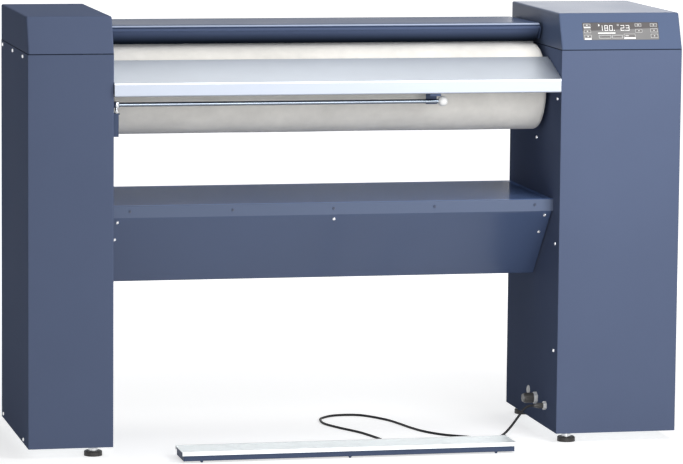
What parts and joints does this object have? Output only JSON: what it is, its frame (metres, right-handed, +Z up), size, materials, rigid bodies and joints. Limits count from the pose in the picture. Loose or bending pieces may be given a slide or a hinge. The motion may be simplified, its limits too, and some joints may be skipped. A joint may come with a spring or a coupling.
{
  "type": "flatwork rotary ironer",
  "caption": "Two sheet-steel pedestals carry a padded roller with a heated trough and hood behind it, a feed table, laundry rail and shelf, and a foot bar on a cord.",
  "frame": {"origin": "on the floor under the middle of the object's outline, foot bar included", "axes": "+X along the roller, from the left column to the right column with the control panel; +Y from the operator's side to the rear; +Z up"},
  "size_m": [1.554, 0.566, 1.0205],
  "materials": {
    "slate_paint": "satin fine-textured slate blue paint",
    "smoked_glass": "smoked glossy cover, opaque",
    "green_board": "solder-mask green",
    "zinc_steel": "zinc-plated sheet",
    "black_plastic": "satin",
    "cast_grey": "as cast",
    "cream_cloth": "plain woven, cream",
    "felt_padding": "felt",
    "raw_steel": "turned",
    "cast_aluminium": "die-cast, matte",
    "dark_paint": "satin fine-textured dark blue paint",
    "bright_sheet": "fine lengthwise grain, bright",
    "white_plastic": "satin",
    "cord_sheath": "smooth"
  },
  "bodies": {
    "root": {"left_casing": "slate_paint", "left_side_panel": "slate_paint", "right_casing": "slate_paint", "right_inner_panel": "slate_paint", "left_hood": "slate_paint", "right_hood": "slate_paint", "control_panel": "smoked_glass", "control_board": "green_board", "left_base_frame": "zinc_steel", "right_base_frame": "zinc_steel", "left_frame_plate": "zinc_steel", "right_frame_plate": "zinc_steel", "bearing_left": "cast_grey", "bearing_right": "cast_grey", "gearmotor": "cast_grey", "arm_pin_left": "raw_steel", "arm_pin_right": "raw_steel", "lift_motor": "cast_grey", "feed_table": "bright_sheet", "rail_bracket": "dark_paint", "rail_clip": "dark_paint", "shelf_top": "slate_paint", "shelf_apron": "slate_paint", "shelf_bracket_left": "zinc_steel", "shelf_bracket_right": "zinc_steel", "rear_crossbeam": "slate_paint", "cable_gland_small": "black_plastic", "cable_gland_large": "black_plastic", "blanking_plug": "black_plastic", "footbar_base": "dark_paint", "footbar_end_left": "dark_paint", "footbar_end_right": "dark_paint", "footbar_switch": "black_plastic", "footbar_gland": "black_plastic", "footbar_cord": "cord_sheath"},
    "roller": {"roller_tube": "raw_steel", "roller_padding": "felt_padding", "roller_cloth": "cream_cloth", "roller_end_left": "raw_steel", "roller_end_right": "raw_steel", "roller_gear": "raw_steel"},
    "pinion": {"drive_pinion": "raw_steel"},
    "trough": {"heated_trough": "cast_aluminium", "heater_rod_upper": "raw_steel", "heater_rod_lower": "raw_steel", "trough_hood": "dark_paint", "trough_arm_left": "zinc_steel", "trough_arm_right": "zinc_steel"},
    "finger_guard": {"finger_guard": "slate_paint"},
    "lift_rod": {"lift_rod": "zinc_steel"},
    "rail": {"laundry_rail": "zinc_steel", "rail_ball": "white_plastic", "rail_knuckle": "white_plastic"},
    "treadle": {"footbar_treadle": "bright_sheet"},
    "foot_front_left": {"levelling_foot_front_left": "black_plastic"},
    "foot_rear_left": {"levelling_foot_rear_left": "black_plastic"},
    "foot_front_right": {"levelling_foot_front_right": "black_plastic"},
    "foot_rear_right": {"levelling_foot_rear_right": "black_plastic"}
  },
  "joints": [
    {"name": "roller_turn", "type": "hinge", "parent": "root", "child": "roller", "pos_m": [-0.048, 0.019, 0.8353], "axis": [-1, 0, 0], "continuous": true},
    {"name": "pinion_turn", "type": "hinge", "parent": "root", "child": "pinion", "pos_m": [0.5251, 0.019, 0.7449], "axis": [-1, 0, 0], "continuous": true},
    {"name": "trough_tilt", "type": "hinge", "parent": "root", "child": "trough", "pos_m": [-0.048, 0.209, 0.578], "axis": [-1, 0, 0], "range_deg": [0, 2.9]},
    {"name": "lift_push", "type": "slide", "parent": "root", "child": "lift_rod", "axis": [0, 1, 0], "range_m": [0, 0.0077]},
    {"name": "guard_swing", "type": "hinge", "parent": "trough", "child": "finger_guard", "pos_m": [-0.048, -0.0045, 0.9768], "axis": [1, 0, 0], "range_deg": [0, 15]},
    {"name": "rail_swing", "type": "hinge", "parent": "root", "child": "rail", "pos_m": [-0.5685, -0.149, 0.817], "axis": [0, 0, -1], "range_deg": [0, 95]},
    {"name": "treadle_press", "type": "hinge", "parent": "root", "child": "treadle", "pos_m": [-0.039, -0.1905, 0.0241], "axis": [1, 0, 0], "range_deg": [0, 1.5], "stiffness_Nm_per_rad": 20, "springref_deg": -2.86},
    {"name": "foot_front_left_turn", "type": "hinge", "parent": "root", "child": "foot_front_left", "pos_m": [-0.621, -0.142, 0], "axis": [0, 0, 1], "continuous": true},
    {"name": "foot_rear_left_turn", "type": "hinge", "parent": "root", "child": "foot_rear_left", "pos_m": [-0.621, 0.251, 0], "axis": [0, 0, 1], "continuous": true},
    {"name": "foot_front_right_turn", "type": "hinge", "parent": "root", "child": "foot_front_right", "pos_m": [0.518, -0.142, 0], "axis": [0, 0, 1], "continuous": true},
    {"name": "foot_rear_right_turn", "type": "hinge", "parent": "root", "child": "foot_rear_right", "pos_m": [0.518, 0.251, 0], "axis": [0, 0, 1], "continuous": true}
  ],
  "couplings": [
    {"joint": "pinion_turn", "follows": "roller_turn", "ratio": -3},
    {"joint": "lift_push", "follows": "trough_tilt", "m_per_rad": 0.15}
  ]
}
